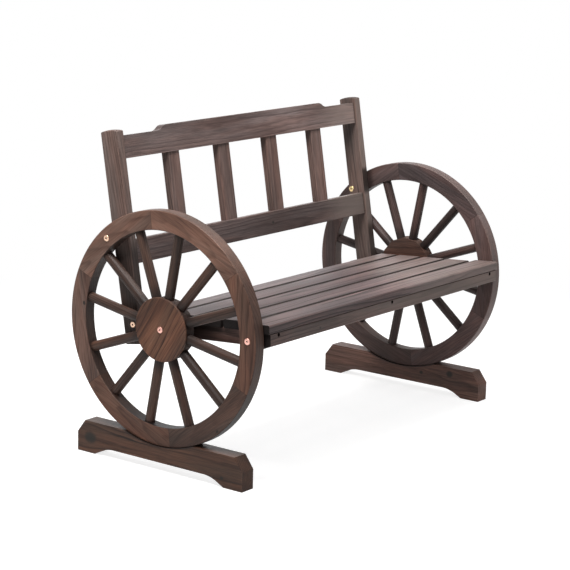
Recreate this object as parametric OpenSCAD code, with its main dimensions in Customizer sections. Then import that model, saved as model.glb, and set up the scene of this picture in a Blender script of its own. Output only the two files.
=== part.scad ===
// Wagon wheel bench: a slatted two-seat bench carried between two wooden spoked wheels.
// X runs along the seat, -Y is the front, +Z is up. The origin is on the ground, under the middle.
// Everything above the feet is laid out square to the seat and then tipped back about the hub axis.

/* [Overall] */
// Width over the outer faces of the two feet
overall_w = 1040; // [900:10:1300]
// How far the seat, frame and wheels tip back, in degrees
seat_slope = 4; // [0:0.5:7]
// Angle between the seat and the back, in degrees
back_angle = 95.7; // [92:0.1:102]
// Easing on the long edges of the boards
ease = 1.5; // [0.5:0.1:2.5]

/* [Wheels] */
// Outside diameter of a wheel
wheel_d = 545; // [520:5:580]
// Radial depth of the rim
rim_depth = 45; // [42:1:52]
// Thickness of the rim
rim_t = 31; // [29:1:36]
// Diameter of a spoke
spoke_d = 23; // [20:0.5:25]
// Diameter of the tenon on each end of a spoke
tenon_d = 15; // [12:0.5:17]
// Length of a spoke tenon
tenon_l = 24; // [16:1:26]
// Twelve-sided hub, across its flats
hub_flats = 144; // [136:2:160]
// Thickness of the round cap on the hub
cap_t = 4; // [3:0.5:6]
// Spokes' middle, in from the middle of the rim's thickness
spoke_set = 0.5; // [0.3:0.1:2.5]
// Turn of the spokes from their even places, in degrees
wheel_turn = 0.7; // [0:0.1:2]
// Felloe joints, from the middle of the gap between two spokes, in degrees
joint_shift = 2.3; // [-3:0.1:3]
// Diameter of the dowel in each felloe joint
felloe_dowel_d = 10; // [8:0.5:12]
// Length of the dowel in each felloe joint
felloe_dowel_l = 40; // [30:2:50]

/* [Feet] */
// Length of a foot
foot_l = 493; // [460:1:540]
// Width of a foot
foot_w = 40; // [37:1:50]
// Height of a foot
foot_h = 76.7; // [70:0.1:90]
// Wood left under the lowest point of the wheel, from the ground
saddle_floor = 57.5; // [50:0.5:62]
// Height of the sloped end of a foot
end_slope_h = 30.7; // [20:0.1:40]
// Length of the sloped end of a foot
end_slope_l = 23; // [15:0.5:35]
// Length of the flat pad at each end of a foot
pad_l = 53.5; // [45:0.5:75]
// Height of the relief under a foot
relief_h = 19.5; // [12:0.5:26]
// Run of the relief's end, from the pad up to the flat
relief_run = 55; // [40:0.5:65]
// Half the turn of the curve at the relief's end, in degrees
relief_bend = 11; // [8:0.5:13]

/* [Seat] */
// Height of the seat's top over the hub axis, square to the seat
seat_rise = 30.1; // [27:0.1:36]
// Seat's front edge, forward of the tread
seat_front = 13.3; // [8:0.1:20]
// Thickness of the seat slats
slat_t = 20.5; // [18:0.5:23]
// Width of the four front seat slats
slat_w = 67; // [62:0.5:72]
// Width of the rear seat slat
rear_slat_w = 52; // [40:0.5:58]
// Gap between seat slats
slat_gap = 7.5; // [3:0.5:9]
// Easing of the seat slats' long edges
slat_ease = 2.5; // [1:0.1:4]
// Play between the ends of the front slat and the wheels
front_slat_play = 2.5; // [1:0.5:8]
// Overhang of the other slats past the side bearers
slat_overhang = 6; // [4:0.5:25]
// Thickness of the side bearers, the middle bearer and the spacers
bearer_t = 31; // [26:1:36]
// Height of the bearers
bearer_h = 34.6; // [32:0.1:45]
// Height of the front apron
apron_h = 28.5; // [24:0.5:36]
// Thickness of the front apron
apron_t = 20; // [16:0.5:22]
// Set-back of the apron from the front slat's edge
apron_recess = 1.5; // [0:0.5:4]
// Play between the ends of the apron and the wheels
apron_play = 7.5; // [2:0.5:15]
// Length of the spacer behind each hub
hub_spacer_l = 70; // [50:2:90]
// Length of the spacer behind each front rim bolt
front_spacer_l = 35; // [28:1:45]

/* [Back] */
// Thickness of the posts, side to side
post_t = 24.5; // [24:0.5:36]
// Depth of the posts, front to back
post_depth = 48.5; // [40:0.5:52]
// Lower post bolt, behind the hub axis along the seat
post_back = 108.5; // [104:0.5:125]
// Lower post bolt, behind the post's front face
post_bolt_in = 19.3; // [15:0.1:22]
// Upper post bolt, in front of the post's back face
rim_bolt_edge = 8.2; // [7.5:0.1:14]
// Post below its lower bolt
post_foot = 46; // [40:1:60]
// Post above its lower bolt
post_top = 449.5; // [440:0.5:520]
// Crown of the post's top
post_crown = 5; // [2:0.5:8]
// Thickness of the two rails
rail_t = 20; // [18:0.5:26]
// Set-back of the rails from the posts' front faces
rail_set = 4.5; // [0:0.5:8]
// Bottom of the lower rail, above the lower post bolt
low_rail_at = 138.3; // [120:0.1:150]
// Height of the lower rail
low_rail_h = 56; // [48:0.5:62]
// Bottom of the top rail, above the lower post bolt
top_rail_at = 380.8; // [340:0.1:384]
// Height of the top rail at its ends
top_rail_h = 53; // [48:0.5:56]
// Rise of the crest over the ends of the top rail
crest_h = 12; // [6:0.5:18]
// Width of the level part of the crest
crest_w = 610; // [400:5:640]
// Run of the double curve at each end of the crest
crest_run = 31; // [20:1:60]
// Width of a back slat
back_slat_w = 44; // [36:0.5:56]
// Thickness of a back slat
back_slat_t = 19; // [17:0.5:20]
// Set-back of the back slats from the rails' front faces
back_slat_set = 4; // [2:0.5:5]
// Spacing of the back slats, centre to centre
back_slat_pitch = 190; // [120:1:194]
// Length of the tenon on each end of a back slat
slat_tenon_l = 15; // [10:1:20]
// Thickness of the tenon on a back slat
slat_tenon_t = 8; // [6:0.5:9]
// Shoulder at each side of a back slat's tenon
slat_shoulder = 5; // [2:0.5:8]

/* [Fasteners] */
// Diameter of the bolts
bolt_d = 6; // [5:0.5:7]
// Diameter of the broad bolt and nut heads
head_d = 15; // [13:0.5:17]
// Thickness of the bolt and nut heads
head_t = 2.2; // [1.8:0.1:3]
// Hexagon socket, across flats
socket_af = 4; // [3:0.5:4.5]
// Bolt line below the hub axis
bolt_drop = 2.8; // [0:0.1:6]
// Barrel diameter of the cap nuts
nut_d = 9; // [8:0.5:10]
// Barrel length of the cap nuts
nut_l = 14; // [10:1:18]
// Diameter of the wood screws
screw_d = 4; // [3.5:0.5:5]
// Length of the apron screws
apron_screw_l = 25; // [20:1:25]
// Depth of the apron screws' heads below the surface
apron_screw_sink = 4; // [2:0.5:4]
// Outer apron screws, inboard of the side bearers' outer faces
apron_screw_in = 13; // [5:0.5:18]
// Apron screws, below the top of the apron
apron_screw_down = 6; // [6:0.5:16]
// Length of the screws that hold the seat slats
seat_screw_l = 38; // [34:1:42]
// Bite of the seat screws into the slats
seat_screw_bite = 15; // [10:1:17]
// Length of the screws up through the feet
foot_screw_l = 60; // [52:1:62]
// Foot screws, either side of the middle of the foot
foot_screw_y = 70; // [60:1:75]
// Diameter of the dowels between rails and posts
rail_dowel_d = 8; // [6:0.5:10]
// Length of the dowels between rails and posts
rail_dowel_l = 40; // [30:2:46]

/* [Fits] */
// Radial clearance of tenons and dowels
wood_fit = 0.1; // [0.05:0.05:0.3]
// Radial clearance of the bolts
bolt_fit = 0.25; // [0.1:0.05:0.5]
// Clearance of the wheel in the foot's saddle
saddle_fit = 0.2; // [0.1:0.1:0.5]

/* [Hidden] */
$fn = 96;
felloe_count = 6;
spoke_count = 12;
dark_wood = "#4d3c38";
rim_wood = "#58433b";
spoke_wood = "#45362f";
cap_wood = "#5f4638";
copper = "#c98f74";
brass = "#c9a45a";
steel = "#2c2a2a";
dowel_wood = "#b08d64";

// Wheels: inner and outer radius of the rim, the hub, and the faces along X
wheel_r = wheel_d / 2;
rim_in_r = wheel_r - rim_depth;
rim_mid_r = wheel_r - rim_depth / 2;
hub_flat_r = hub_flats / 2;
hub_corner_r = hub_flat_r / cos(180 / spoke_count);
hub_t = rim_t - cap_t;
foot_mid = overall_w / 2 - foot_w / 2;
wheel_in = foot_mid - rim_t / 2;
wheel_out = wheel_in + rim_t;
spoke_x = wheel_in + rim_t / 2 - spoke_set;
spoke_out_r = sqrt(rim_in_r * rim_in_r - spoke_d * spoke_d / 4) - 0.05;
spoke_pitch = 360 / spoke_count;
felloe_angle = 360 / felloe_count;
function spoke_at(n) = wheel_turn + spoke_pitch * (n + 0.5);
function joint_at(i) = wheel_turn + joint_shift + felloe_angle * (i + 0.5);

// Posts and bearers along X: the post stands against the wheel, the bearer against the post
post_in = wheel_in - post_t;
bearer_in = post_in - bearer_t;
bearer_mid = (post_in + bearer_in) / 2;

// Seat, in the tipped frame: u is back from the hub axis, v is up from it
front_u = -(wheel_r + seat_front);
rear_u = front_u + 4 * (slat_w + slat_gap) + rear_slat_w;
slat_under = seat_rise - slat_t;
bearer_bottom = slat_under - bearer_h;
apron_front = front_u + apron_recess;
apron_back = apron_front + apron_t;
apron_bottom = slat_under - apron_h;
bearer_end = post_back + post_depth - post_bolt_in;
function slat_u(i) = front_u + i * (slat_w + slat_gap);
function slat_width(i) = i < 4 ? slat_w : rear_slat_w;
function seat_screw_u(i) = slat_u(i) + slat_width(i) * (i == 0 ? 0.75 : 0.5);
apron_screw_x = post_in - apron_screw_in;
apron_screw_v = slat_under - apron_screw_down;

// Back: the post leans on its lower bolt, and its upper bolt lands on the middle of the rim
lean = back_angle - 90;
rim_bolt_in = post_depth - rim_bolt_edge;
reach_u = post_back + (rim_bolt_in - post_bolt_in) * cos(lean);
reach_v = -bolt_drop - (rim_bolt_in - post_bolt_in) * sin(lean);
reach_along = reach_u * sin(lean) + reach_v * cos(lean);
rim_bolt_s = -reach_along
    + sqrt(reach_along * reach_along - reach_u * reach_u - reach_v * reach_v + rim_mid_r * rim_mid_r);
rim_bolt_u = reach_u + rim_bolt_s * sin(lean);
rim_bolt_v = reach_v + rim_bolt_s * cos(lean);
rail_half = post_in;
slat_tenon_y = (back_slat_set + rail_t) / 2;

// Bolts: nut face, head face, then the place in the tipped frame
front_bolt = [bearer_in, wheel_out, -sqrt(rim_mid_r * rim_mid_r - bolt_drop * bolt_drop), -bolt_drop];
hub_bolt = [bearer_in, wheel_out, 0, 0];
lower_bolt = [bearer_in, wheel_in, post_back, -bolt_drop];
upper_bolt = [post_in, wheel_out, rim_bolt_u, rim_bolt_v];
nut_web = 1.5;
bolt_tip = 2.5;

// Where the bench stands: the middle of its depth is at Y = 0
front_reach = max(
    -front_u * cos(seat_slope) - (slat_under + slat_ease) * sin(seat_slope),
    -apron_front * cos(seat_slope) - (apron_bottom + ease) * sin(seat_slope)
);
wheel_y = (front_reach - wheel_r) / 2;
hub_z = saddle_floor + wheel_r;

// Right side as drawn, left side as its mirror image
module on_side(side) {
    if (side < 0) mirror([1, 0, 0]) children();
    else children();
}

module on_both_sides() {
    children();
    mirror([1, 0, 0]) children();
}

// The tipped frame: origin on the hub axis, Y back along the seat, Z square to the seat
module tipped() {
    translate([0, wheel_y, hub_z]) rotate([-seat_slope, 0, 0]) children();
}

// The back's frame: origin at the lower post bolt's height on the posts' front faces, Z up the posts
module leaning() {
    translate([0, post_back, -bolt_drop]) rotate([-lean, 0, 0]) translate([0, -post_bolt_in, 0]) children();
}

// The rails' frame: as the back's, but its origin is on the rails' front faces
module railing() {
    leaning() translate([0, rail_set, 0]) children();
}

// Turns a wheel drawn in plan so that its X points out at angle a from the front, its Z points inwards
module spread(a) {
    rotate([0, -90, 0]) rotate([0, 0, a - 90]) children();
}

// A flat outline drawn in Y and Z, made thick from x0 to x1
module thick_x(x0, x1) {
    translate([x0, 0, 0]) rotate([90, 0, 90]) linear_extrude(height = x1 - x0) children();
}

// Rectangle with eased corners
module eased(w, h, e = ease) {
    polygon([[e, 0], [w - e, 0], [w, e], [w, h - e], [w - e, h], [e, h], [0, h - e], [0, e]]);
}

// Double curve from height h down to height 0 over a run w: two arcs, a quarter flatter than level-ended ones
module double_curve(w, h) {
    l = sqrt(w * w + h * h);
    r = 1.25 * l * l / (4 * h);
    d = sqrt(r * r - l * l / 16);
    c = [w / 4 - h / l * d, 3 * h / 4 - w / l * d];
    intersection() {
        translate(c) circle(r);
        translate([-1, -1]) square([w / 2 + 1, h + 2]);
    }
    difference() {
        translate([w / 2 - 1, -1]) square([w / 2 + 1, h / 2 + 1]);
        translate([w - c[0], h - c[1]]) circle(r);
    }
}

// End of the relief under a foot: a long curve off the flat at height h, then a straight slope down to the pad
module relief_end(w, h) {
    x = 0.62 * w;
    y = 0.565 * h;
    l = sqrt(x * x + (h - y) * (h - y));
    d = l / 2 / tan(relief_bend);
    fall = y / (w - x);
    intersection() {
        translate([x / 2 - (h - y) / l * d, (h + y) / 2 - x / l * d]) circle(r = l / 2 / sin(relief_bend));
        translate([-2, -1]) square([x + 14, h + 1]);
    }
    polygon([[x + 4, -1], [w + 1 / fall, -1], [x + 4, y - 4 * fall]]);
}

// Hole for a bolt and, at its inner end, for the barrel of its cap nut
module bolt_hole(b) {
    translate([b[0] - 1, b[2], b[3]]) rotate([0, 90, 0]) {
        cylinder(d = bolt_d + 2 * bolt_fit, h = b[1] - b[0] + 2);
        cylinder(d = nut_d + 2 * bolt_fit, h = nut_l + 2);
    }
}

// Bolt with a broad head: the head's seat is on the outer face, the shank runs inwards
module bolt(b) {
    shank = b[1] - b[0] - bolt_tip;
    translate([b[1], b[2], b[3]]) rotate([0, -90, 0]) difference() {
        rotate_extrude() polygon([
            [0, -head_t], [head_d / 2 - 1.5, -head_t], [head_d / 2, -head_t / 2], [head_d / 2, 0],
            [bolt_d / 2, 0], [bolt_d / 2, shank - 1], [bolt_d / 2 - 1, shank], [0, shank]
        ]);
        translate([0, 0, -head_t - 1]) cylinder(d = socket_af / cos(30), h = head_t + 2, $fn = 6);
    }
}

// Cap nut: the same head on the inner face, the barrel runs out into the wood
module cap_nut(b) {
    translate([b[0], b[2], b[3]]) rotate([0, 90, 0]) difference() {
        rotate_extrude() polygon([
            [0, -head_t], [head_d / 2 - 3, -head_t], [head_d / 2 - 1, -head_t * 0.7],
            [head_d / 2, -head_t / 3], [head_d / 2, 0], [nut_d / 2, 0], [nut_d / 2, nut_l], [0, nut_l]
        ]);
        translate([0, 0, nut_web]) cylinder(d = bolt_d + 0.1, h = nut_l);
    }
}

// Countersunk wood screw, head face at Z = 0, point up along Z
module screw(l) {
    rotate_extrude() polygon([
        [0, 0], [screw_d, 0], [screw_d / 2, screw_d / 2], [screw_d / 2, l - screw_d], [0, l]
    ]);
}

// Clearance for a screw, with a straight hole of depth sink over its head
module screw_hole(l, sink) {
    cylinder(d = screw_d + 2 * wood_fit, h = l + 0.5);
    translate([0, 0, -sink - 1]) cylinder(d = 2 * screw_d + 1, h = sink + 1 + screw_d / 2);
}

module each_foot_screw() {
    for (s = [-1, 1])
        translate([foot_mid, wheel_y + s * foot_screw_y, relief_h + 5]) children();
}

module each_seat_screw(x) {
    for (i = [0 : 4])
        translate([x, seat_screw_u(i), slat_under + seat_screw_bite - seat_screw_l]) children();
}

module each_apron_screw() {
    for (x = [-apron_screw_x, 0, apron_screw_x])
        translate([x, apron_front + apron_screw_sink, apron_screw_v]) rotate([-90, 0, 0]) children();
}

module each_rail_dowel() {
    for (z = [low_rail_at + low_rail_h / 4, low_rail_at + low_rail_h * 3 / 4,
              top_rail_at + top_rail_h / 4, top_rail_at + top_rail_h * 3 / 4])
        translate([post_in, rail_t / 2, z]) rotate([0, 90, 0]) children();
}

// Spoke tenons of one wheel as cutters or as solids, at one end or the other
module spoke_bore(n, r0, r1) {
    translate([spoke_x, 0, 0]) spread(spoke_at(n)) translate([r0, 0, 0]) rotate([0, 90, 0])
        cylinder(d = tenon_d + 2 * wood_fit, h = r1 - r0);
}

module felloe_dowel(i, grow) {
    translate([foot_mid, 0, 0]) spread(joint_at(i)) translate([rim_mid_r, 0, 0]) rotate([90, 0, 0])
        cylinder(d = felloe_dowel_d + 2 * grow, h = felloe_dowel_l + 4 * grow, center = true);
}

// Felloe: one sixth of the rim, bored for two spokes, two dowels and whatever bolts and screws meet it
module felloe(side, i) {
    color(rim_wood) on_side(side) difference() {
        tipped() difference() {
            translate([wheel_in, 0, 0]) spread(joint_at(i))
                rotate_extrude(angle = felloe_angle)
                    translate([rim_in_r, -rim_t]) eased(rim_depth, rim_t);
            for (n = [2 * i + 1, 2 * i + 2])
                spoke_bore(n, rim_in_r - 5, spoke_out_r + tenon_l + wood_fit);
            for (k = [i, i + 1]) felloe_dowel(k, wood_fit);
            bolt_hole(front_bolt);
            bolt_hole(upper_bolt);
        }
        each_foot_screw() screw_hole(foot_screw_l, 5);
    }
}

// The two spokes that a felloe carries: shouldered on the hub's flat and inside the rim
module spoke_pair(side, i) {
    color(spoke_wood) on_side(side) tipped()
        for (n = [2 * i + 1, 2 * i + 2])
            translate([spoke_x, 0, 0]) spread(spoke_at(n)) rotate([0, 90, 0]) {
                translate([0, 0, hub_flat_r]) cylinder(d = spoke_d, h = spoke_out_r - hub_flat_r);
                translate([0, 0, hub_flat_r - tenon_l])
                    cylinder(d = tenon_d, h = spoke_out_r - hub_flat_r + 2 * tenon_l);
            }
}

// Hub: twelve flats, one under each spoke
module hub(side) {
    color(spoke_wood) on_side(side) tipped() difference() {
        translate([wheel_in, 0, 0]) spread(wheel_turn) translate([0, 0, -hub_t])
            linear_extrude(height = hub_t) circle(r = hub_corner_r, $fn = spoke_count);
        for (n = [0 : spoke_count - 1])
            spoke_bore(n, hub_flat_r - tenon_l - wood_fit, hub_corner_r + 5);
        bolt_hole(hub_bolt);
    }
}

// Round cap that closes the hub, flush with the face of the rim
module hub_cap(side) {
    color(cap_wood) on_side(side) tipped() difference() {
        translate([wheel_in + hub_t, 0, 0]) rotate([0, 90, 0]) rotate_extrude() polygon([
            [0, 0], [hub_corner_r, 0], [hub_corner_r, cap_t - ease], [hub_corner_r - ease, cap_t], [0, cap_t]
        ]);
        bolt_hole(hub_bolt);
    }
}

module felloe_dowels() {
    color(dowel_wood) on_both_sides() tipped()
        for (i = [0 : felloe_count - 1]) felloe_dowel(i, 0);
}

// Foot: sloped ends, a relief with curved and sloped ends between two pads, a saddle for the wheel
module foot(side) {
    half = foot_l / 2;
    relief = half - pad_l;
    color(dark_wood) on_side(side) difference() {
        translate([0, wheel_y, 0]) thick_x(foot_mid - foot_w / 2, foot_mid + foot_w / 2) difference() {
            polygon([
                [-half, 0], [half, 0], [half, foot_h - end_slope_h], [half - end_slope_l, foot_h],
                [-half + end_slope_l, foot_h], [-half, foot_h - end_slope_h]
            ]);
            translate([0, hub_z]) circle(r = wheel_r + saddle_fit, $fn = 180);
            translate([-relief + relief_run + 1, -1]) square([2 * (relief - relief_run - 1), relief_h + 1]);
            for (s = [0, 1]) mirror([s, 0]) translate([relief - relief_run, 0])
                relief_end(relief_run, relief_h);
        }
        each_foot_screw() screw_hole(foot_screw_l, 5);
    }
}

module foot_screws() {
    color(steel) on_both_sides() each_foot_screw() screw(foot_screw_l);
}

// Side bearer: from the back of the apron to the back of the post, under the slat ends
module side_bearer(side) {
    color(dark_wood) on_side(side) tipped() difference() {
        translate([bearer_in, bearer_end, bearer_bottom]) rotate([90, 0, 0])
            linear_extrude(height = bearer_end - apron_back) eased(bearer_t, bearer_h);
        bolt_hole(front_bolt);
        bolt_hole(hub_bolt);
        bolt_hole(lower_bolt);
        each_seat_screw(bearer_mid) screw_hole(seat_screw_l, bearer_h);
        each_apron_screw() screw_hole(apron_screw_l, apron_screw_sink);
    }
}

module middle_bearer() {
    color(dark_wood) tipped() difference() {
        translate([-bearer_t / 2, rear_u, bearer_bottom]) rotate([90, 0, 0])
            linear_extrude(height = rear_u - apron_back) eased(bearer_t, bearer_h);
        each_seat_screw(0) screw_hole(seat_screw_l, bearer_h);
        each_apron_screw() screw_hole(apron_screw_l, apron_screw_sink);
    }
}

// Spacers fill the post's thickness between bearer and wheel, behind the hub and the front bolt
module hub_spacer(side) {
    color(dark_wood) on_side(side) tipped() difference() {
        translate([post_in, -hub_spacer_l / 2, bearer_bottom]) cube([post_t, hub_spacer_l, bearer_h]);
        bolt_hole(hub_bolt);
    }
}

module front_spacer(side) {
    color(dark_wood) on_side(side) tipped() difference() {
        translate([post_in, apron_back, bearer_bottom]) cube([post_t, front_spacer_l, bearer_h]);
        bolt_hole(front_bolt);
    }
}

// Apron: hangs under the front slat and closes the ends of the three bearers
module front_apron() {
    half = wheel_in - apron_play;
    color(dark_wood) tipped() difference() {
        translate([0, apron_front, apron_bottom]) thick_x(-half, half) eased(apron_t, apron_h);
        each_apron_screw() screw_hole(apron_screw_l, apron_screw_sink);
    }
}

module apron_screws() {
    color(steel) tipped() each_apron_screw() screw(apron_screw_l);
}

// Seat slat i, counted from the front; the front one reaches out to the wheels
module seat_slat(i) {
    half = i == 0 ? wheel_in - front_slat_play : post_in + slat_overhang;
    color(dark_wood) tipped() difference() {
        translate([0, slat_u(i), slat_under]) thick_x(-half, half) eased(slat_width(i), slat_t, slat_ease);
        for (x = [-bearer_mid, 0, bearer_mid]) each_seat_screw(x) screw_hole(seat_screw_l, 1);
    }
}

module seat_screws() {
    color(steel) tipped() for (x = [-bearer_mid, 0, bearer_mid]) each_seat_screw(x) screw(seat_screw_l);
}

// Outline of a post from one side: square foot, low round crown on top
module crowned(w, crown) {
    r = (w * w / 4 + crown * crown) / (2 * crown);
    translate([0, -post_foot]) square([w, post_foot + post_top - 1.5 * crown]);
    intersection() {
        translate([w / 2, post_top - r]) circle(r = r);
        translate([0, post_top - 2 * crown]) square([w, 2 * crown + 1]);
    }
}

// Post: crowned both ways at the top, square at the foot, bored for its two bolts and the rail dowels
module post(side) {
    color(dark_wood) on_side(side) tipped() difference() {
        leaning() intersection() {
            translate([post_in, 0, -post_foot])
                linear_extrude(height = post_top + post_foot) eased(post_t, post_depth);
            thick_x(post_in - 1, wheel_in + 1) crowned(post_depth, post_crown);
            translate([post_in, post_depth + 1, 0]) rotate([90, 0, 0])
                linear_extrude(height = post_depth + 2) crowned(post_t, post_crown / 2);
        }
        railing() each_rail_dowel() translate([0, 0, -1])
            cylinder(d = rail_dowel_d + 2 * wood_fit, h = rail_dowel_l / 2 + 1 + wood_fit);
        bolt_hole(upper_bolt);
        bolt_hole(lower_bolt);
    }
}

// Mortises for the four back slats, from one rail edge into the wood
module slat_mortises(z0, z1) {
    w = back_slat_w - 2 * slat_shoulder + 2 * wood_fit;
    t = slat_tenon_t + 2 * wood_fit;
    for (k = [-1.5, -0.5, 0.5, 1.5])
        translate([k * back_slat_pitch - w / 2, slat_tenon_y - t / 2, z0]) cube([w, t, z1 - z0]);
}

module rail_end_holes() {
    on_both_sides() each_rail_dowel() translate([0, 0, -rail_dowel_l / 2 - wood_fit])
        cylinder(d = rail_dowel_d + 2 * wood_fit, h = rail_dowel_l / 2 + 1);
}

module lower_rail() {
    color(dark_wood) tipped() railing() difference() {
        translate([0, 0, low_rail_at]) thick_x(-rail_half, rail_half) eased(rail_t, low_rail_h);
        slat_mortises(low_rail_at + low_rail_h - slat_tenon_l - wood_fit, low_rail_at + low_rail_h + 1);
        rail_end_holes();
    }
}

// Top rail: low shoulders and a raised crest with a double curve at each end
module top_rail() {
    color(dark_wood) tipped() railing() difference() {
        translate([0, rail_t, top_rail_at]) rotate([90, 0, 0]) linear_extrude(height = rail_t) {
            translate([-rail_half, 0]) square([2 * rail_half, top_rail_h]);
            translate([-crest_w / 2, 0]) square([crest_w, top_rail_h + crest_h]);
            for (s = [0, 1]) mirror([s, 0]) translate([crest_w / 2, top_rail_h])
                double_curve(crest_run, crest_h);
        }
        slat_mortises(top_rail_at - 1, top_rail_at + slat_tenon_l + wood_fit);
        rail_end_holes();
    }
}

// Back slat k places from the middle, tenoned into both rails
module back_slat(k) {
    z0 = low_rail_at + low_rail_h;
    color(dark_wood) tipped() railing() translate([k * back_slat_pitch, 0, 0]) {
        translate([-back_slat_w / 2, back_slat_set, z0])
            linear_extrude(height = top_rail_at - z0) eased(back_slat_w, back_slat_t);
        translate([-back_slat_w / 2 + slat_shoulder, slat_tenon_y - slat_tenon_t / 2, z0 - slat_tenon_l])
            cube([back_slat_w - 2 * slat_shoulder, slat_tenon_t, top_rail_at - z0 + 2 * slat_tenon_l]);
    }
}

module rail_dowels() {
    color(dowel_wood) on_both_sides() tipped() railing() each_rail_dowel()
        cylinder(d = rail_dowel_d, h = rail_dowel_l, center = true);
}

// Long bolts hold wheel, spacer and bearer; short ones hold the posts
module wheel_bolts() {
    color(copper) on_both_sides() tipped() for (b = [hub_bolt, front_bolt]) bolt(b);
}

module post_bolts() {
    color(copper) on_both_sides() tipped() for (b = [upper_bolt, lower_bolt]) bolt(b);
}

module cap_nuts() {
    color(brass) on_both_sides() tipped()
        for (b = [hub_bolt, front_bolt, upper_bolt, lower_bolt]) cap_nut(b);
}

felloe(-1, 0);  // left_felloe_front_top
felloe(-1, 1);  // left_felloe_back_top
felloe(-1, 2);  // left_felloe_back
felloe(-1, 3);  // left_felloe_back_bottom
felloe(-1, 4);  // left_felloe_front_bottom
felloe(-1, 5);  // left_felloe_front
felloe(1, 0);  // right_felloe_front_top
felloe(1, 1);  // right_felloe_back_top
felloe(1, 2);  // right_felloe_back
felloe(1, 3);  // right_felloe_back_bottom
felloe(1, 4);  // right_felloe_front_bottom
felloe(1, 5);  // right_felloe_front
spoke_pair(-1, 0);  // left_spokes_front_top
spoke_pair(-1, 1);  // left_spokes_back_top
spoke_pair(-1, 2);  // left_spokes_back
spoke_pair(-1, 3);  // left_spokes_back_bottom
spoke_pair(-1, 4);  // left_spokes_front_bottom
spoke_pair(-1, 5);  // left_spokes_front
spoke_pair(1, 0);  // right_spokes_front_top
spoke_pair(1, 1);  // right_spokes_back_top
spoke_pair(1, 2);  // right_spokes_back
spoke_pair(1, 3);  // right_spokes_back_bottom
spoke_pair(1, 4);  // right_spokes_front_bottom
spoke_pair(1, 5);  // right_spokes_front
hub(-1);  // left_hub
hub(1);  // right_hub
hub_cap(-1);  // left_hub_cap
hub_cap(1);  // right_hub_cap
felloe_dowels();
foot(-1);  // left_foot
foot(1);  // right_foot
foot_screws();
side_bearer(-1);  // left_side_bearer
side_bearer(1);  // right_side_bearer
middle_bearer();
hub_spacer(-1);  // left_hub_spacer
hub_spacer(1);  // right_hub_spacer
front_spacer(-1);  // left_front_spacer
front_spacer(1);  // right_front_spacer
front_apron();
apron_screws();
seat_slat(0);  // front_seat_slat
seat_slat(1);  // second_seat_slat
seat_slat(2);  // third_seat_slat
seat_slat(3);  // fourth_seat_slat
seat_slat(4);  // rear_seat_slat
seat_screws();
post(-1);  // left_post
post(1);  // right_post
lower_rail();
top_rail();
rail_dowels();
back_slat(-1.5);  // left_outer_back_slat
back_slat(-0.5);  // left_inner_back_slat
back_slat(0.5);  // right_inner_back_slat
back_slat(1.5);  // right_outer_back_slat
wheel_bolts();
post_bolts();
cap_nuts();
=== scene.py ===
import math
import bpy
from mathutils import Matrix, Vector


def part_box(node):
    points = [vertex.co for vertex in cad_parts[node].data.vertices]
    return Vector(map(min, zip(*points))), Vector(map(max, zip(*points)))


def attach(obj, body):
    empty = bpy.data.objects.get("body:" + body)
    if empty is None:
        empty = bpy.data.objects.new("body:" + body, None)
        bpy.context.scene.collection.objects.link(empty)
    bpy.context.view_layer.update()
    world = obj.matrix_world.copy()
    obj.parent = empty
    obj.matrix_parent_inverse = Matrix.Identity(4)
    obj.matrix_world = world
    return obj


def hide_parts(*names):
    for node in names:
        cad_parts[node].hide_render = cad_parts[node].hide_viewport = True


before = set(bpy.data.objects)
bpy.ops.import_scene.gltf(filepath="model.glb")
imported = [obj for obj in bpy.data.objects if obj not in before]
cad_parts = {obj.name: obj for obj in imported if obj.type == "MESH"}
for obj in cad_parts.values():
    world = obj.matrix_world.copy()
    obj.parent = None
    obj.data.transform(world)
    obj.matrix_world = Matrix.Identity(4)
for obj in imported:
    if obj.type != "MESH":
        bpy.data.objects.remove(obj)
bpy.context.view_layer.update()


# ---- Studio: a white floor that runs back into a white room, with four soft lamps: one overhead,
# ---- one at the left for the near wheel, and a weaker one each at the back and at the front. The
# ---- camera looks from the left front corner, from far off, so the lines stay nearly parallel.
class Wire:
    """An output in a material. A sum written on it adds the Math nodes that work it out."""

    def __init__(self, finish, socket):
        self.finish = finish
        self.socket = socket

    def maths(self, operation, *values):
        return self.finish.node("ShaderNodeMath", {"operation": operation}, dict(enumerate(values)))

    def __add__(self, other):
        return self.maths("ADD", self, other)

    def __sub__(self, other):
        return self.maths("SUBTRACT", self, other)

    def __rsub__(self, other):
        return self.maths("SUBTRACT", other, self)

    def __mul__(self, other):
        return self.maths("MULTIPLY", self, other)

    def __truediv__(self, other):
        return self.maths("DIVIDE", self, other)

    def __pow__(self, other):
        return self.maths("POWER", self, other)

    def __neg__(self):
        return self.maths("MULTIPLY", self, -1.0)

    def __abs__(self):
        return self.maths("ABSOLUTE", self)

    __radd__ = __add__
    __rmul__ = __mul__

    def least(self, other):
        return self.maths("MINIMUM", self, other)

    def most(self, other):
        return self.maths("MAXIMUM", self, other)

    def rise(self, start, end):
        """0 up to start, 1 from end on, and a smooth step between. End may be the lower one."""
        return self.finish.node("ShaderNodeMapRange", {"interpolation_type": "SMOOTHSTEP"},
                                {"Value": self, "From Min": start, "From Max": end})


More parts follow.
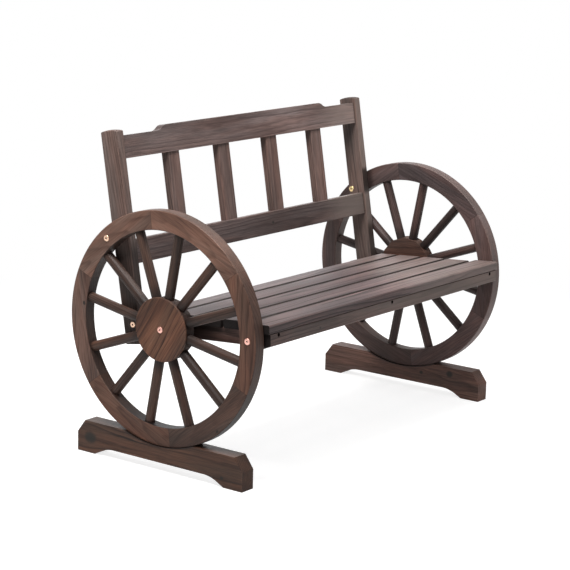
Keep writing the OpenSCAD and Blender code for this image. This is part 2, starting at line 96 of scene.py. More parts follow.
class Finish:
    """A material that is put together node by node."""

    def __init__(self, name, world=None):
        self.material = world or bpy.data.materials.new(name)
        self.material.use_nodes = True
        self.tree = self.material.node_tree
        self.tree.nodes.clear()

    def node(self, kind, settings=None, sockets=None, out=0):
        made = self.tree.nodes.new(kind)
        for key, value in (settings or {}).items():
            if key == "stops":
                for place, (at, grey) in enumerate(value):
                    step = (made.color_ramp.elements[place] if place < 2
                            else made.color_ramp.elements.new(at))
                    step.position = at
                    step.color = (grey, grey, grey, 1.0)
            else:
                setattr(made, key, value)
        for key, value in (sockets or {}).items():
            socket = (made.inputs[key] if isinstance(key, int)
                      else next(s for s in made.inputs if key in (s.identifier, s.name)))
            if isinstance(value, Wire):
                self.tree.links.new(value.socket, socket)
            else:
                socket.default_value = value
        if isinstance(out, str):
            out = next(k for k, s in enumerate(made.outputs) if out in (s.identifier, s.name))
        return Wire(self, made.outputs[out])

    def surface(self, shader, kind="ShaderNodeOutputMaterial"):
        end = self.tree.nodes.new(kind)
        self.tree.links.new(shader.socket, end.inputs["Surface"])

    def blend(self, share, under, over, how="MIX"):
        return self.node("ShaderNodeMix", {"data_type": "RGBA", "blend_type": how},
                         {"Factor_Float": share, "A_Color": under, "B_Color": over}, "Result_Color")


def shade(red, green, blue):
    """A colour given as it looks on a screen, from 0 to 255."""
    return tuple(((c / 255 + 0.055) / 1.055) ** 2.4 for c in (red, green, blue)) + (1.0,)


def seen_directly(f):
    """1 where the camera or a gloss sees the surface, 0 where it only lights other things."""
    rays = [f.node("ShaderNodeLightPath", out=name)
            for name in ("Is Camera Ray", "Is Glossy Ray", "Is Transmission Ray")]
    return (rays[0] + rays[1] + rays[2]).least(1.0)


floor_radius, floor_drop = 9.0, 0.0006
bpy.ops.object.select_all(action="DESELECT")
bpy.ops.mesh.primitive_circle_add(vertices=96, radius=floor_radius, fill_type="NGON",
                                  location=(0, 0, -floor_drop))
floor = bpy.context.object
floor.name = "studio_floor"
bpy.ops.object.transform_apply(location=True, rotation=True, scale=True)
f = Finish("white_floor")
spot = f.node("ShaderNodeTexCoord", out="Object")
distance = f.node("ShaderNodeVectorMath", {"operation": "LENGTH"}, {0: spot}, "Value")
paper = f.node("ShaderNodeBsdfPrincipled", sockets={
    "Base Color": shade(176, 176, 176), "Roughness": 0.9, "Specular IOR Level": 0.1})
lift = f.node("ShaderNodeEmission", sockets={
    "Color": (1, 1, 1, 1), "Strength": seen_directly(f) * 0.8})
shadowed = f.node("ShaderNodeAddShader", sockets={0: paper, 1: lift})
bright = f.node("ShaderNodeEmission", sockets={
    "Color": (1, 1, 1, 1), "Strength": seen_directly(f) * 0.7 + 0.3})
shadow_reach, white_from = 0.9, 1.9
f.surface(f.node("ShaderNodeMixShader", sockets={
    0: distance.rise(shadow_reach, white_from), 1: shadowed, 2: bright}))
floor.data.materials.append(f.material)

bpy.context.scene.world = bpy.data.worlds.new("white_room")
f = Finish("white_room", bpy.context.scene.world)
rays = [f.node("ShaderNodeLightPath", out=name)
        for name in ("Is Camera Ray", "Is Transmission Ray", "Is Glossy Ray")]
f.surface(f.node("ShaderNodeBackground", sockets={
    "Color": (1, 1, 1, 1), "Strength": (rays[0] + rays[1]) * 0.88 + rays[2] * 0.38 + 0.12}),
    "ShaderNodeOutputWorld")
bpy.context.scene.view_settings.view_transform = "Standard"

for name, place, aim, size, watts, colour in (
        ("overhead_softbox", (0.25, -0.2, 2.1), (0.1, 0, 0.4), 1.3, 30.0, (1.0, 0.98, 0.96)),
        ("left_softbox", (-1.25, -0.2, 2.25), (-0.45, 0, 0.35), 0.7, 52.0, (1.0, 0.97, 0.95)),
        ("back_softbox", (1.9, 2.0, 1.5), (0, -0.1, 0.36), 1.8, 21.0, (0.97, 0.98, 1.0)),
        ("front_softbox", (0.5, -2.5, 1.8), (0.1, 0.1, 0.55), 1.4, 20.0, (0.98, 0.98, 1.0))):
    bpy.ops.object.light_add(type="AREA", location=place)
    lamp = bpy.context.object
    lamp.name = name
    lamp.visible_camera = False
    lamp.data.shape = "SQUARE"
    lamp.data.size = size
    lamp.data.energy = watts
    lamp.data.color = colour
    lamp.rotation_euler = (Vector(aim) - Vector(place)).to_track_quat("-Z", "Y").to_euler()

# The lens, in points of a picture that is 570 points wide.
picture_width, focal_length, centre_x, centre_y = 570, 1952.76, 281.425, 287.289
heading, dip, roll = -0.930, 0.214, 0.025
bpy.ops.object.camera_add(location=(-3.78903, -2.77363, 1.36714))
camera = bpy.context.object
camera.name = "camera"
camera.data.sensor_width = 36.0
camera.data.lens = focal_length / picture_width * camera.data.sensor_width
camera.data.shift_x = (picture_width / 2 - centre_x) / picture_width
camera.data.shift_y = (centre_y - picture_width / 2) / picture_width
camera.data.clip_end = 60.0
camera.rotation_euler = (
    Matrix.Rotation(heading, 3, "Z") @ Matrix.Rotation(math.pi / 2 - dip, 3, "X")
    @ Matrix.Rotation(roll, 3, "Z")).to_euler()
bpy.context.scene.camera = camera


# ---- Rims: each wheel's rim is six felloes, sawn from straight fir boards, so the grain runs
# ---- across each felloe as a chord. They are dowelled end to end, and the joints show as fine
# ---- dark lines. The whole bench is fir, stained dark brown and left satin.
def figure(f, x, y, z, seed, ring, pith, tilt, knots=(), wave=1.0):
    """The grain of fir at a point x along it, y across and z through it: the dark winter lines,
    the fine fibres, the cloudy take-up of the stain, its drift in hue and the knots, all from 0
    to 1. Ring is the width of a year, and pith is where the tree's middle lies in y and z."""
    spot = f.node("ShaderNodeCombineXYZ", sockets={0: x, 1: y, 2: z})

    def cloud(scale, shift, detail=2.0):
        placed = f.node("ShaderNodeMapping", {"vector_type": "POINT"}, {
            "Vector": spot, "Location": (seed * 1.7 + shift, seed * 3.1, shift - seed),
            "Scale": scale})
        return f.node("ShaderNodeTexNoise", sockets={
            "Vector": placed, "Scale": 1.0, "Detail": detail})

    around_y = y - pith[0] - x * tilt[0] + (cloud((2.2, 9, 9), 0.0, 1.0) - 0.5) * (0.030 * wave)
    around_z = z - pith[1] - x * tilt[1]
    knot = None
    for at_x, at_y, size in knots:
        swirl_x, swirl_y = (x - at_x) / (size * 2.1), (y - at_y) / (size * 1.25)
        pull = -(swirl_x * swirl_x + swirl_y * swirl_y)
        around_y = around_y - (y - at_y) * pull.maths("EXPONENT", pull) * 0.85
        core_x, core_y = (x - at_x) / (size * 0.62), (y - at_y) / (size * 0.5)
        ragged = (cloud((70, 70, 70), 5.0) - 0.5) * 0.8
        core = (core_x * core_x + core_y * core_y + ragged).rise(1.7, 0.2)
        knot = core if knot is None else knot.most(core)
    depth = (around_y * around_y + around_z * around_z) ** 0.5
    turn = depth / ring + (cloud((1.3, 34, 34), 2.0) - 0.5) * 1.3
    turn = turn + (cloud((9, 60, 60), 7.0) - 0.5) * (0.5 * wave)
    year = turn.maths("FRACT", turn)
    line = f.node("ShaderNodeValToRGB", {"stops": (
        (0.0, 0.0), (1.0, 0.0), (0.3, 0.05), (0.62, 0.34), (0.84, 1.0), (0.94, 0.9))}, {0: year})
    bold = cloud((1.5, 55, 55), 3.0).rise(0.3, 0.66)
    fibre = cloud((22, 620, 620), 4.0)
    patch = cloud((3.5, 16, 16), 6.0).rise(0.3, 0.7)
    drift = cloud((3.5, 32, 32), 8.0, 3.0).rise(0.34, 0.66)
    return line * (0.3 + bold * 0.7), fibre, patch, drift, knot


def stained(f, tone, grain, along, edge=None, joint=None, worn=0.18, contrast=1.0, end_grain=0.55,
            soaked=None, bleached=None, sheen=0.25, end_tone=(30, 20, 18)):
    """Fir under the dark stain: tone is its lighter, darker and line colour. Ends drink more stain,
    and edges are paler, partly rubbed and partly a painted highlight. A joint shows as a dark line.
    The shade share darkens the colour as painted shade, and the light share pales and greys it as
    painted light and sheen."""
    line, fibre, patch, drift, knot = grain
    light, dark, winter = (shade(*c) for c in tone)
    colour = f.blend(patch, dark, light)
    redder, cooler = (1.07, 0.985, 0.94, 1), (0.94, 1.01, 1.03, 1)
    colour = f.blend(1.0, colour, f.blend(drift, redder, cooler), "MULTIPLY")
    colour = f.blend((line * (0.78 * contrast)).least(1.0), colour, winter)
    streak = 0.66 + fibre.rise(0.25, 0.75) * 0.6
    grey = f.node("ShaderNodeCombineXYZ", sockets={0: streak, 1: streak, 2: streak})
    colour = f.blend(1.0, colour, grey, "MULTIPLY")
    if knot is not None:
        colour = f.blend(knot * 0.9, colour, shade(34, 33, 30))
    # Painted light and sheen: paler and greyer where the light share says.
    if bleached is not None:
        colour = f.blend(bleached, colour, shade(166, 154, 146))
    # Painted shade: darker where the shade share says.
    if soaked is not None:
        colour = f.blend(soaked, colour, shade(22, 14, 12))
    normal = f.node("ShaderNodeTexCoord", out="Normal")
    facing = f.node("ShaderNodeVectorMath", {"operation": "DOT_PRODUCT"},
                    {0: normal, 1: tuple(along)}, "Value")
    ends = abs(facing).rise(0.55, 0.8)
    colour = f.blend(ends * end_grain, colour, shade(*end_tone))
    if edge is not None:
        # Paler edges: partly rubbed wear, partly a painted highlight.
        rubbed_and_highlit = edge.rise(0.0028, 0.0004) * fibre.rise(0.35, 0.62) * (1.0 - ends)
        colour = f.blend(rubbed_and_highlit * worn, colour, shade(132, 106, 94))
    if joint is not None:
        colour = f.blend(joint, colour, shade(28, 18, 15))
    dullness = 0.5 + line * 0.06 + (fibre - 0.5) * 0.22 + ends * 0.2
    height = line * -0.25 + fibre * 0.75
    bump = f.node("ShaderNodeBump", sockets={"Strength": 0.6, "Distance": 0.0006, "Height": height})
    f.surface(f.node("ShaderNodeBsdfPrincipled", sockets={
        "Base Color": colour, "Roughness": dullness, "Normal": bump, "Specular IOR Level": sheen}))


def own_axes(f, origin, along, across):
    """A point in a piece's own directions: along its grain, across it and through it."""
    along, across = Vector(along).normalized(), Vector(across).normalized()
    turned = Matrix((along, across, along.cross(across))).transposed().to_euler()
    local = f.node("ShaderNodeMapping", {"vector_type": "TEXTURE"}, {
        "Vector": f.node("ShaderNodeTexCoord", out="Object"),
        "Location": tuple(origin), "Rotation": tuple(turned)})
    return [f.node("ShaderNodeSeparateXYZ", sockets={0: local}, out=k) for k in range(3)]


def dress(node, f):
    """Gives a CAD piece its finish."""
    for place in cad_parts[node].material_slots:
        place.material = f.material


low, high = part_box("left_hub_cap")
wheel_y, wheel_z = (low.y + high.y) / 2, (low.z + high.z) / 2
rim_out, rim_in, rim_mid_x, rim_half_t = 0.2725, 0.2275, 0.500, 0.0155
felloes = ("front_top", "back_top", "back", "back_bottom", "front_bottom", "front")
first_felloe, felloe_pitch = math.radians(67.0), math.radians(60.0)
tread_depth = 0.0012
# The posts lean back by this angle, and painted shadow darkens the right rim where it passes its
# post.
lean = math.radians(9.7)
upward = Vector((0, math.sin(lean), math.cos(lean)))
backward = Vector((0, math.cos(lean), -math.sin(lean)))
post_low, post_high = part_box("right_post")
warm = ((131, 101, 89), (96, 73, 64), (50, 34, 29))
cool = ((105, 86, 84), (76, 62, 60), (38, 28, 28))
# How much lighter or darker a felloe came out than its wheel's tone, in red, green and blue.
took_stain = {
    "left_front_bottom": (0.73, 0.73, 0.73), "left_front": (0.93, 0.88, 0.84),
    "left_back_bottom": (1.02, 0.95, 0.9), "left_back": (0.95, 0.97, 0.99),
    "left_back_top": (1.07, 1.08, 1.08), "left_front_top": (1.03, 1.03, 1.02),
    "right_back_bottom": (1.05, 1.0, 0.97), "right_front_top": (0.92, 0.95, 0.97),
    "right_front_bottom": (1.12, 1.12, 1.12)}
rim_knots = {"left_back": ((-0.055, 0.227, 0.008),), "left_front_bottom": ((0.012, 0.266, 0.006),)}
for side, name in ((-1, "left"), (1, "right")):
    for k, part in enumerate(felloes):
        angle = first_felloe + felloe_pitch * k
        radial = Vector((0, -math.cos(angle), math.sin(angle)))
        chord = Vector((0, math.sin(angle), math.cos(angle)))
        f = Finish(f"{name}_{part}_felloe_wood")
        x, y, z = own_axes(f, (side * rim_mid_x, wheel_y, wheel_z), chord, radial)
        seed = 3.3 * k + (11.0 if side > 0 else 0.0)
        pith = (0.235 + 0.02 * math.sin(seed), 0.05 if k % 2 else -0.05)
        tilt = (0.03 * math.sin(2.3 * seed), 0.08 * math.cos(seed))
        grain = figure(f, x, y, z, seed, ring=0.0058, pith=pith, tilt=tilt,
                       knots=rim_knots.get(f"{name}_{part}", ()), wave=0.85)
        radius = (x * x + y * y) ** 0.5
        edge = (rim_out - radius).least(radius - rim_in).most(rim_half_t - abs(z))
        off_joint = y * 0.5 - abs(x) * math.cos(math.radians(30))
        height = y * math.sin(angle) + x * math.cos(angle) + wheel_z
        outside = (radius - rim_out + tread_depth).rise(0.0, 0.001)
        inside = (rim_in + tread_depth - radius).rise(0.0, 0.001)
        tread = outside + inside * 1.5
        if side < 0:
            tone, contrast = warm, 1.0 if part == "front" else 0.6
            # Painted shade: darker towards the bottom, on both treads, and most on the lower outer
            # tread.
            soaked = (height.rise(0.17, 0.06) * 0.42 + tread * 0.5
                      + outside * height.rise(0.34, 0.12) * 0.5)
            bleached = None
        else:
            tone, contrast = cool, 0.45
            # Painted shadow on the right rim beside its post, and painted shade darker towards the
            # bottom.
            past = own_axes(f, (0, post_low.y, post_low.z), backward, upward)[0]
            post_shadow = past.rise(-0.024, -0.006) * past.rise(0.03, 0.01) * height.rise(0.35, 0.45)
            soaked = height.rise(0.17, 0.06) * 0.2 + post_shadow * 0.7
            # Painted sheen: the treads are paled and greyed.
            bleached = tread * 0.1
        own = took_stain.get(f"{name}_{part}", (1.0, 1.0, 1.0))
        tone = [[c * strength for c, strength in zip(colour, own)] for colour in tone]
        stained(f, tone, grain, chord, edge, off_joint.rise(0.0012, 0.0002) * 0.35,
                contrast=contrast, end_grain=0.3, soaked=soaked, bleached=bleached)
        dress(f"{name}_felloe_{part}", f)


# ---- Spokes: twelve turned fir rods to a wheel, 23 mm thick, with a thinner tenon at each end
# ---- that goes into the rim and the hub. The grain runs along each, and painted shade darkens each
# ---- spoke near the hub and near the rim.
first_pair, half_pitch, spoke_mid_x = math.radians(64.7), math.radians(15.0), 0.4995
no_end_grain = (0, 0, 0)
rod = ((94, 69, 58), (58, 41, 35), (30, 19, 16))
cool_rod = ((84, 66, 63), (55, 43, 41), (30, 21, 20))
for side, name in ((-1, "left"), (1, "right")):
    for k, part in enumerate(felloes):
        angle = first_pair + felloe_pitch * k
        radial = Vector((0, -math.cos(angle), math.sin(angle)))
        chord = Vector((0, math.sin(angle), math.cos(angle)))
        f = Finish(f"{name}_{part}_spoke_wood")
        x, y, z = own_axes(f, (side * spoke_mid_x, wheel_y, wheel_z), radial, chord)
        # Two spokes make one piece, a mirrored pair, so the grain is folded over at y = 0.
        which_one = y.maths("SIGN", y)
        length = x * math.cos(half_pitch) + abs(y) * math.sin(half_pitch)
        width = abs(y) * math.cos(half_pitch) - x * math.sin(half_pitch)
        seed = 2.1 * k + (17.0 if side > 0 else 5.0)
        grain = figure(f, length + which_one * 2.0, width, z, seed, ring=0.0045,
                       pith=(0.012 * math.cos(seed), 0.014 * math.sin(seed)), tilt=(0.02, -0.015))
        tone = cool_rod if side > 0 else rod
        # Painted shade: the spokes in the left wheel's front half are darker.
        if side < 0 and "front" in part:
            tone = [[c * 0.9 for c in colour] for colour in tone]
        # Painted shade: darker near the hub and near the rim.
        stained(f, tone, grain, no_end_grain, sheen=0.3,
                soaked=length.rise(0.112, 0.078) * 0.75 + length.rise(0.218, 0.2275) * 0.5)
        dress(f"{name}_spokes_{part}", f)


# ---- Hubs: a twelve-sided fir block with a spoke in each flat, and over it a thin round cap that
# ---- hides the spoke ends. The cap's board was laid with its grain on the diagonal.
seat_slope = math.radians(4.0)
cap_grain, cap_radius = math.radians(51.7) + seat_slope, 0.0745
# The left hub's darker tone is painted shade, for the shade under its cap.
hub_tones = {"left": ((58, 41, 35), (40, 28, 24), (24, 16, 14)),
             "right": ((100, 73, 63), (72, 52, 45), (38, 26, 22))}
cap_tone = ((124, 88, 70), (82, 56, 45), (38, 24, 19))
for side, name in ((-1, "left"), (1, "right")):
    for part, tone, turned, seed, contrast, end_grain in (
            ("hub", hub_tones[name], 0.0, 8.0, 0.8, 0.1),
            ("hub_cap", cap_tone, cap_grain, 2.6, 1.3, 0.4)):
        low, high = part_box(f"{name}_{part}")
        along = Vector((0, -math.cos(turned), math.sin(turned)))
        across = Vector((0, math.sin(turned), math.cos(turned)))
        f = Finish(f"{name}_{part}_wood")
        x, y, z = own_axes(f, (low + high) / 2, along, across)
        grain = figure(f, x, y, z, seed + (6.0 if side > 0 else 0.0), ring=0.0085,
                       pith=(0.020, -0.035 * side), tilt=(0.06, 0.02))
        radius = (x * x + y * y) ** 0.5
        edge = (cap_radius - radius).most((high.x - low.x) / 2 - abs(z))
        stained(f, tone, grain, along, edge, contrast=contrast, end_grain=end_grain)
        dress(f"{name}_{part}", f)


# ---- Dowels: plain beech pins, glued into the joints of the rims and between rails and posts.
# ---- They went in without stain, because nothing of them shows once the bench is together.
f = Finish("dowel_wood")
x, y, z = own_axes(f, (0, 0, 0), (0, 0, 1), (1, 0, 0))
beech = ((190, 156, 116), (172, 136, 96), (140, 104, 70))
grain = figure(f, x, y, z, seed=1.0, ring=0.003, pith=(0, 0), tilt=(0, 0))
stained(f, beech, grain, no_end_grain, contrast=0.4)
for part in ("felloe_dowels", "rail_dowels"):
    dress(part, f)


# ---- Feet: two fir beams on the floor, sawn to a saddle on top for the rim and to a relief below.
# ---- The left one has a large dark knot at its back end. Long screws come up from underneath.
def board(name, along, across, tone, seed, ring, half, pith=(0.01, -0.03), tilt=(0.03, 0.02),
          knots=(), wave=1.0, soak=None, bleach=None, **more):
    """Finishes one straight piece of timber, whose middle is that of its box. Half is its half
    length, width and thickness. The shade and light functions say where painted shade darkens the
    colour and where painted light makes it paler and greyer."""
    low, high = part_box(name)
    f = Finish(f"{name}_wood")
    x, y, z = own_axes(f, (low + high) / 2, along, across)
    ex, ey, ez = (size - abs(q) for size, q in zip(half, (x, y, z)))
    edge = ex.most(ey).least(ey.most(ez)).least(ex.most(ez))
    more.update(soaked=soak(x, y, z) if soak else None,
                bleached=bleach(x, y, z) if bleach else None)
    stained(f, tone, figure(f, x, y, z, seed, ring, pith, tilt, knots, wave), along, edge, **more)
    dress(name, f)


def saddle_shadow(x, y, z):
    """A painted shadow line where the rim stands in the foot, a little wider at the saddle's two
    ends.
    """
    reach = (x * x + (y - saddle_up) * (y - saddle_up)) ** 0.5 - rim_out
    return (reach / (abs(x) * 0.02 + 0.0028)).rise(1.0, 0.1) * (0.16 - abs(x)).rise(0.0, 0.01) * 0.9


low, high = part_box("left_foot")
saddle_up = wheel_z - (low.z + high.z) / 2
foot_half = (0.2465, 0.0383, 0.02)
board("left_foot", (0, 1, 0), (0, 0, 1), ((100, 73, 60), (68, 49, 40), (28, 18, 14)), seed=4.0,
      ring=0.0052, half=foot_half, pith=(0.006, 0.05), tilt=(0.02, 0.0), wave=1.6, contrast=1.25,
      knots=((0.207, -0.001, 0.028), (-0.188, -0.017, 0.008)), end_grain=0.4, soak=saddle_shadow)
# The right foot's lighter tone is painted light, making up for the seat's shade over it.
board("right_foot", (0, 1, 0), (0, 0, 1), ((146, 114, 103), (106, 82, 74), (48, 34, 31)), seed=9.0,
      ring=0.0062, half=foot_half, pith=(-0.004, -0.05), tilt=(0.0, 0.02), wave=0.9, contrast=0.9,
      knots=((-0.156, 0.021, 0.016), (-0.068, 0.0105, 0.009)), end_grain=0.3, soak=saddle_shadow)


def metal(name, light, dark, rough):
    """Worn metal: a colour that clouds a little, fine pits and dull spots."""
    f = Finish(name)
    place = f.node("ShaderNodeTexCoord", out="Object")
    spots = f.node("ShaderNodeTexNoise", sockets={"Vector": place, "Scale": 420.0, "Detail": 3.0})
    placed = f.node("ShaderNodeMapping", {}, {"Vector": place, "Scale": (300, 300, 300)})
    pits = f.node("ShaderNodeTexNoise", sockets={"Vector": placed, "Scale": 6.0, "Detail": 2.0})
    colour = f.blend(spots.rise(0.35, 0.7), shade(*light), shade(*dark))
    dullness = rough + (pits - 0.5) * 0.2 + spots.rise(0.5, 0.8) * 0.15
    bump = f.node("ShaderNodeBump", sockets={"Strength": 0.25, "Distance": 0.0002, "Height": pits})
    f.surface(f.node("ShaderNodeBsdfPrincipled", sockets={
        "Base Color": colour, "Roughness": dullness, "Metallic": 1.0, "Normal": bump}))
    return f


black_steel = metal("black_steel", (52, 48, 46), (30, 27, 26), 0.5)
dress("foot_screws", black_steel)


# ---- Under the seat: a fir bearer on each side, a third one in the middle, and the blocks that
# ---- hold the wheels off the side bearers at the hub bolt and at the front bolt.
tip_up = Vector((0, math.sin(seat_slope), math.cos(seat_slope)))
tip_back = Vector((0, math.cos(seat_slope), -math.sin(seat_slope)))
hub_centre = Vector((0, wheel_y, wheel_z))
hidden = ((74, 56, 50), (52, 38, 34), (30, 20, 18))
# The left side bearer's lighter tone is painted light, making up for the seat's shade over it.
lit = ((158, 126, 118), (120, 94, 88), (62, 46, 42))
bearer_half_h, bearer_half_t = 0.0173, 0.0155
for k, (name, tone) in enumerate((("left_side_bearer", lit), ("right_side_bearer", hidden),
                                  ("middle_bearer", hidden))):
    low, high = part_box(name)
    by_hub = tip_back.dot(hub_centre - (low + high) / 2)
    board(name, tip_back, tip_up, tone, seed=12.0 + 3 * k, ring=0.005,
          half=((high.y - low.y) / 2 - 0.001, bearer_half_h, bearer_half_t), pith=(0.008, 0.02),
          tilt=(0.01, 0.02), end_grain=0.6,
          # Painted shade: darker from just in front of the hub towards the back.
          soak=lambda x, y, z: (x - by_hub).rise(-0.2, -0.09) * 0.9)
# Painted shade: the blocks are half as light as the hidden bearers.
shaded_block_tone = [[c * 0.5 for c in colour] for colour in hidden]
for k, name in enumerate(("left_hub_spacer", "right_hub_spacer",
                          "left_front_spacer", "right_front_spacer")):
    low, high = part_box(name)
    board(name, tip_back, tip_up, shaded_block_tone, seed=25.0 + 2 * k, ring=0.005,
          half=((high.y - low.y) / 2 - 0.001, bearer_half_h, bearer_half_t))


# ---- Apron: a thin fir board under the seat's front edge, with three screws sunk below its face.
# ---- Its sawn ends are nearly black, partly from stain taken up by the end grain, partly painted
# shade.
right = Vector((1, 0, 0))
# Nearly black: end grain that took up stain, and painted shade.
end_grain_and_shade = (14, 8, 7)
board("front_apron", right, tip_up, ((92, 75, 71), (66, 52, 49), (36, 25, 23)), seed=31.0,
      ring=0.006, half=(0.477, 0.01425, 0.01), pith=(0.01, 0.03), tilt=(0.0, 0.01),
      knots=((-0.2915, -0.003, 0.005),), end_grain=0.95, end_tone=end_grain_and_shade,
      # Painted shade along the top, under the front slat; painted light, paler to the right.
      soak=lambda x, y, z: (y - 0.0118).rise(0.0, 0.0018) * 0.8,
      bleach=lambda x, y, z: x.rise(-0.5, 0.4) * 0.22)
dress("apron_screws", black_steel)


# ---- Seat: five fir slats laid across the bearers, the first one out past the apron and the rear
# ---- one narrower. They are screwed from below, so no screw shows on top, where painted light and
# ---- sheen pale and grey the right part.
slat_tone = ((112, 92, 92), (85, 67, 66), (43, 30, 30))
slat_half_t = 0.01025
for k, (name, length, width, ring, pith, knots) in enumerate((
        ("front_seat_slat", 0.482, 0.0335, 0.0075, (0.02, -0.04), ((-0.21, 0.0, 0.006),)),
        ("second_seat_slat", 0.466, 0.0335, 0.006, (-0.03, -0.03), ()),
        ("third_seat_slat", 0.466, 0.0335, 0.007, (0.01, -0.05), ((0.02, 0.005, 0.004),)),
        ("fourth_seat_slat", 0.466, 0.0335, 0.006, (0.03, 0.04), ()),
        ("rear_seat_slat", 0.466, 0.026, 0.0065, (-0.01, -0.03), ()))):
    def soak(x, y, z):
        """Painted shade along the sides of the gaps, and over the seat's left part."""
        in_gaps = y.rise(0.0324, 0.0331)
        if k > 0:
            in_gaps = in_gaps.most((-y - (width - 0.0041)).rise(0.0, 0.0010))
        return in_gaps.most(x.rise(0.1 + 0.05 * k, 0.1 * k - 0.2) * 0.42) * 0.97

    board(name, right, tip_back, slat_tone, seed=40.0 + 4.7 * k, ring=ring,
          half=(length, width, slat_half_t), pith=pith, tilt=(0.02 * math.cos(3.0 * k), 0.015),
          knots=knots, worn=0.1, contrast=1.5, end_grain=0.95, end_tone=end_grain_and_shade, sheen=0.32,
          # Painted light and sheen: paler and greyer towards the right.
          soak=soak, bleach=lambda x, y, z: x.rise(0.05 * k, 0.2 + 0.05 * k) * 0.22)
dress("seat_screws", black_steel)


# ---- Posts: two stout fir uprights with rounded tops, which lean back. Each is bolted through the
# ---- rim beside it and, lower down, through the side bearer. Painted shade darkens the right one's
# ---- front edge where the rim passes it and from the seat down, and the left one's lower half.
upright = ((128, 109, 103), (98, 82, 77), (54, 41, 37))
upper_bolt = (0.14986, 0.20011)
post_half = (0.2475, 0.02425, 0.01225)


def left_post_shade(x, y, z):
    """Painted shade: the lower half is darker, and the front edge a little."""
    in_front = (-y - 0.0238).rise(0.0, 0.0004)
    return x.rise(0.0, -0.04) * 0.55 + in_front * 0.25


def right_post_shade(x, y, z):
    """Painted shade: the front edge is dark where the rim passes it, and from the seat down."""
    bolt = hub_centre + tip_back * upper_bolt[0] + tip_up * upper_bolt[1]
    at_bolt = upward.dot(bolt - (post_low + post_high) / 2)
    by_rim = x.rise(at_bolt + 0.06, at_bolt + 0.045) * x.rise(at_bolt - 0.02, at_bolt - 0.005)
    from_seat_down = x.rise(at_bolt - 0.08, at_bolt - 0.11)
    return (-y - 0.0235).rise(0.0, 0.0004) * 0.85 * (by_rim + from_seat_down * 0.85)


board("left_post", upward, backward, upright, seed=61.0, ring=0.0055, half=post_half,
      pith=(0.02, 0.03), tilt=(0.02, 0.01), contrast=0.8, end_grain=0.3, soak=left_post_shade)
board("right_post", upward, backward, [[c * 0.86 for c in colour] for colour in upright],
      seed=66.0, ring=0.0055, half=post_half, pith=(-0.02, -0.03), tilt=(0.02, 0.01), contrast=0.8,
      end_grain=0.3, soak=right_post_shade,
      # Painted light: the front face is paled and greyed.
      bleach=lambda x, y, z: (-y - 0.0238).rise(0.0, 0.0004) * 0.2)


# ---- Back: a fir top rail with a raised crest, a lower rail, and four upright slats that are
# ---- tenoned into both. The rails are dowelled to the posts.
def shadow_by_posts(x, y, z):
    """A painted shadow line at a rail's two ends, where it meets the posts."""
    return abs(x).rise(0.4560, 0.4575) * 0.65


board("top_rail", right, upward, ((122, 105, 102), (94, 78, 75), (53, 39, 37)), seed=71.0,
      ring=0.007, half=(0.460, 0.0325, 0.01), pith=(0.03, -0.05), tilt=(0.03, 0.01), wave=1.3,
      contrast=0.8, end_grain=0.6,
      # Painted shade, darker to the left, and painted light, paler to the right.
      soak=lambda x, y, z: x.rise(0.25, -0.42) * 0.38 + shadow_by_posts(x, y, z),
      bleach=lambda x, y, z: x.rise(0.25, 0.42) * 0.22)
board("lower_rail", right, upward, ((93, 79, 77), (68, 56, 54), (38, 27, 26)), seed=77.0,
      ring=0.006, half=(0.460, 0.028, 0.01), pith=(-0.02, 0.04), tilt=(0.02, 0.02),
      knots=((0.06, 0.0, 0.007),), contrast=0.85, end_grain=0.6, soak=shadow_by_posts,
      # Painted light: paler to the right.
      bleach=lambda x, y, z: x.rise(0.25, 0.4) * 0.25)
for k, name in enumerate(("left_outer_back_slat", "left_inner_back_slat",
                          "right_inner_back_slat", "right_outer_back_slat")):
    board(name, upward, right, ((117, 95, 89), (86, 68, 63), (46, 32, 29)), seed=83.0 + 5 * k,
          ring=0.0055, half=(0.108, 0.022, 0.0095), pith=(0.012 * (-1) ** k, 0.03),
          # Painted shadow of the top rail over the slats' tops.
          tilt=(0.02, 0.01), contrast=0.95, soak=lambda x, y, z: x.rise(0.088, 0.098) * 0.45)


# ---- Bolts and nuts: broad flat copper-plated heads with a hexagon socket on the wheels, and brass
# ---- cap nuts of the same width on the inner faces. Each is turned from one bar, its rim rounded.
def turned_piece(name, finish, steps):
    """Draws a hexagon out along Z step by step; each step is a height and the radius there. The
    first three are the hexagon of the socket, which is painted dark as shade, and the rest are
    round."""
    bpy.ops.object.select_all(action="DESELECT")
    bpy.ops.mesh.primitive_circle_add(vertices=6, radius=steps[0][1], fill_type="NOTHING",
                                      location=(0, 0, 0))
    made = bpy.context.object
    made.name = name
    bpy.ops.object.mode_set(mode="EDIT")
    bpy.ops.mesh.select_all(action="SELECT")
    bpy.ops.mesh.subdivide(number_cuts=5)
    bpy.ops.mesh.edge_face_add()
    bpy.ops.transform.translate(value=(0, 0, steps[0][0]))
    place, radius = steps[0]
    mean_of_hexagon = sum(math.hypot(1 - k / 12, k / 12 * math.sqrt(3)) for k in range(6)) / 6
    for number, (end, wide) in enumerate(steps[1:]):
        bpy.ops.mesh.extrude_region_move(TRANSFORM_OT_translate={"value": (0, 0, end - place)})
        if number == 2:
            bpy.ops.transform.tosphere(value=1.0)
            radius *= mean_of_hexagon
        bpy.ops.transform.resize(value=(wide / radius, wide / radius, 1),
                                 center_override=(0, 0, end))
        place, radius = end, wide
    bpy.ops.mesh.select_all(action="SELECT")
    bpy.ops.mesh.normals_make_consistent(inside=False)
    bpy.ops.object.mode_set(mode="OBJECT")
    bpy.ops.object.shade_smooth_by_angle(angle=math.radians(32))
    for coat in (finish, socket_shade):
        made.data.materials.append(coat.material)
    for face in made.data.polygons:
        reach = max(math.hypot(made.data.vertices[v].co.x, made.data.vertices[v].co.y)
                    for v in face.vertices)
        face.material_index = reach < socket + 0.0001 and face.center.z < 0.001
    return made


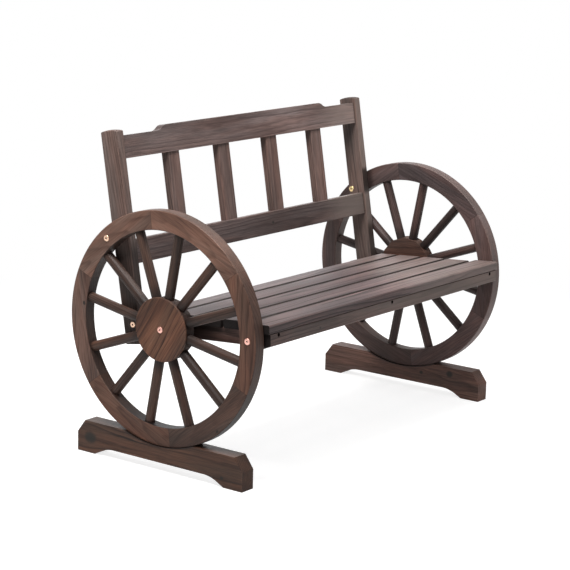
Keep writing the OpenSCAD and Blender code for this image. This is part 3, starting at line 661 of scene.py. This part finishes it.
def set_out(places, name, degrees):
    """Copies fasteners to their places on both sides, joins the copies and puts them in for the
    CAD's. A place is how far it lies out from the middle, and how far behind and above the hub
    it lies, measured along the seat's slope."""
    quarter = math.radians(degrees)
    copies = []
    for turn, (pattern, x, (behind, above)) in enumerate(places):
        y = wheel_y + behind * math.cos(seat_slope) + above * math.sin(seat_slope)
        z = wheel_z - behind * math.sin(seat_slope) + above * math.cos(seat_slope)
        for side in (-1, 1):
            bpy.ops.object.select_all(action="DESELECT")
            pattern.select_set(True)
            bpy.context.view_layer.objects.active = pattern
            bpy.ops.object.duplicate()
            copy = bpy.context.object
            copy.matrix_world = (
                Matrix.Translation((side * x, y, z)) @ Matrix.Rotation(side * quarter, 4, "Y")
                @ Matrix.Rotation(0.4 + 1.9 * turn + side, 4, "Z"))
            bpy.ops.object.transform_apply(location=True, rotation=True, scale=True)
            copies.append(copy)
    bpy.ops.object.select_all(action="DESELECT")
    for pattern in {place[0] for place in places}:
        pattern.select_set(True)
    bpy.ops.object.delete()
    for copy in copies:
        copy.select_set(True)
    bpy.context.view_layer.objects.active = copies[0]
    bpy.ops.object.join()
    made = bpy.context.object
    made.name = f"{name}_turned"
    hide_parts(name)
    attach(made, "root")


wheel_out, wheel_in, post_in, bearer_in = 0.5155, 0.4845, 0.460, 0.429
hub_bolt, front_bolt, lower_bolt = (0.0, 0.0), (-0.24998, -0.0028), (0.1085, -0.0028)
socket = 0.002 / math.cos(math.radians(30))
head = ((0.0008, socket), (-0.00195, socket), (-0.0022, socket + 0.0003), (-0.0022, 0.0036),
        (-0.0022, 0.0056), (-0.00205, 0.0064), (-0.0017, 0.0070), (-0.0011, 0.00738),
        (-0.0003, 0.0075), (0.0, 0.0074), (0.0, 0.003))
# Painted shade: the sockets are dark.
socket_shade = metal("painted_shade_in_sockets", (66, 26, 22), (40, 16, 14), 0.8)
copper = metal("copper_plate", (255, 205, 192), (236, 172, 156), 0.36)
pale_copper = metal("faded_copper_plate", (255, 224, 198), (242, 194, 164), 0.36)
brass = metal("brass_plate", (250, 226, 176), (206, 168, 108), 0.3)
long_bolt = turned_piece("long_bolt", copper, head + ((0.083, 0.003), (0.084, 0.002)))
set_out(((long_bolt, wheel_out, hub_bolt), (long_bolt, wheel_out, front_bolt)),
        "wheel_bolts", -90)
short_bolt = turned_piece("short_bolt", pale_copper, head + ((0.052, 0.003), (0.053, 0.002)))
set_out(((short_bolt, wheel_out, upper_bolt), (short_bolt, wheel_in, lower_bolt)),
        "post_bolts", -90)
nut = turned_piece("nut", brass, (
    (-0.0005, socket), (-0.0020, socket), (-0.0022, socket + 0.0002), (-0.0022, 0.0036),
    (-0.0021, 0.0047), (-0.00175, 0.0058), (-0.0012, 0.0067), (-0.0006, 0.0073),
    (-0.0002, 0.0075), (0.0, 0.0074), (0.0, 0.0045), (0.0136, 0.0045), (0.014, 0.0041),
    (0.014, 0.0033), (0.0137, 0.00305), (0.0015, 0.00305)))
set_out(((nut, bearer_in, hub_bolt), (nut, bearer_in, front_bolt), (nut, bearer_in, lower_bolt),
         (nut, post_in, upper_bolt)), "cap_nuts", 90)
